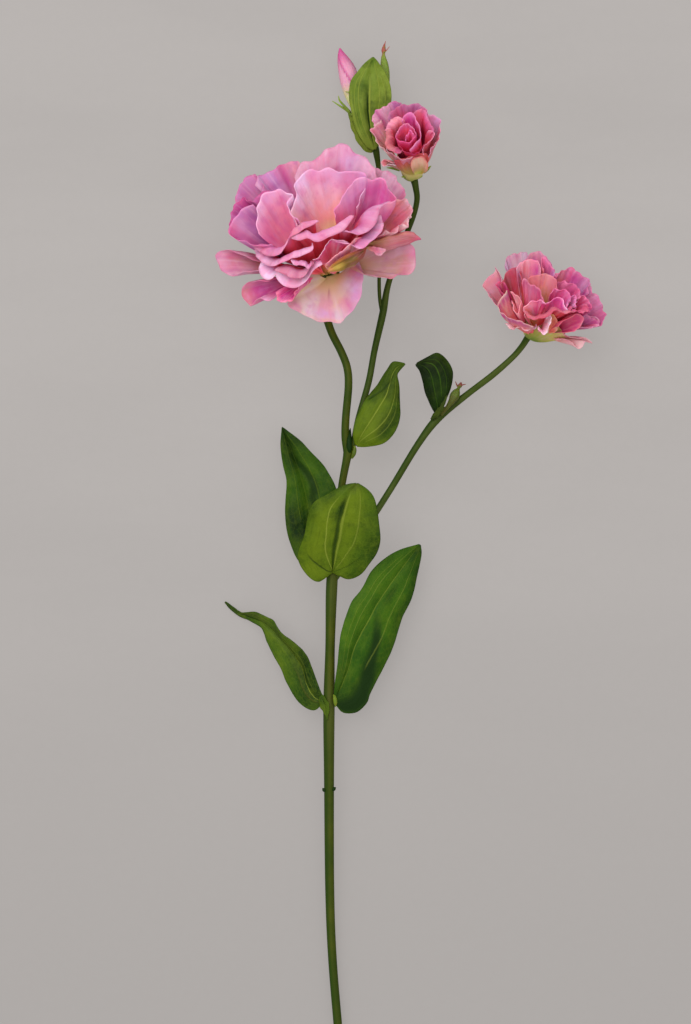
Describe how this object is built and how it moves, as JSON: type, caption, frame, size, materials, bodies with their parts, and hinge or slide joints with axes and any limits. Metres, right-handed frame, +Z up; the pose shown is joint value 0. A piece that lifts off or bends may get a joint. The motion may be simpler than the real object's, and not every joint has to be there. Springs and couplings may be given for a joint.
{
  "type": "cut lisianthus stem",
  "caption": "Cut branching stem of double pink lisianthus with an open bloom, a half-open bloom, a rosette, buds and paired leaves, lying flat.",
  "frame": {"origin": "on the surface that the stem lies on, under the middle of its bounding box", "axes": "+Y along the stem from its cut end to the blooms, +X towards the half-open bloom on the side branch, +Z up from the surface"},
  "size_m": [0.1695, 0.4923, 0.0709],
  "materials": {
    "stem_green": "satin",
    "leaf_green": "satin",
    "petal_pink": "matte",
    "bud_pink": "matte",
    "bud_green": "matte"
  },
  "bodies": {
    "root": {"back_left_leaf": "leaf_green", "big_bloom_branch": "stem_green", "big_petal_01": "petal_pink", "big_petal_02": "petal_pink", "big_petal_03": "petal_pink", "big_petal_04": "petal_pink", "big_petal_05": "petal_pink", "big_petal_06": "petal_pink", "big_petal_07": "petal_pink", "big_petal_08": "petal_pink", "big_petal_09": "petal_pink", "big_petal_10": "petal_pink", "big_petal_11": "petal_pink", "big_petal_12": "petal_pink", "big_petal_13": "petal_pink", "big_petal_14": "petal_pink", "big_petal_15": "petal_pink", "big_petal_16": "petal_pink", "big_petal_17": "petal_pink", "big_petal_18": "petal_pink", "big_petal_19": "petal_pink", "big_petal_20": "petal_pink", "big_petal_21": "petal_pink", "bract": "leaf_green", "bud_branch": "stem_green", "fork_leaf": "leaf_green", "front_leaf": "leaf_green", "green_bud": "bud_green", "lower_left_leaf": "leaf_green", "lower_right_leaf": "leaf_green", "main_stem": "stem_green", "pink_bud": "bud_pink", "rosette_petal_01": "petal_pink", "rosette_petal_02": "petal_pink", "rosette_petal_03": "petal_pink", "rosette_petal_04": "petal_pink", "rosette_petal_05": "petal_pink", "rosette_petal_06": "petal_pink", "rosette_petal_07": "petal_pink", "rosette_petal_08": "petal_pink", "side_branch": "stem_green", "side_leaf": "leaf_green", "side_petal_01": "petal_pink", "side_petal_02": "petal_pink", "side_petal_03": "petal_pink", "side_petal_04": "petal_pink", "side_petal_05": "petal_pink", "side_petal_06": "petal_pink", "side_petal_07": "petal_pink", "side_petal_08": "petal_pink", "side_petal_09": "petal_pink", "side_petal_10": "petal_pink", "side_petal_11": "petal_pink", "side_petal_12": "petal_pink", "side_petal_13": "petal_pink", "side_petal_14": "petal_pink", "small_bud": "bud_green", "top_back_leaf": "leaf_green", "top_branch": "stem_green", "top_leaf": "leaf_green"}
  },
  "joints": []
}
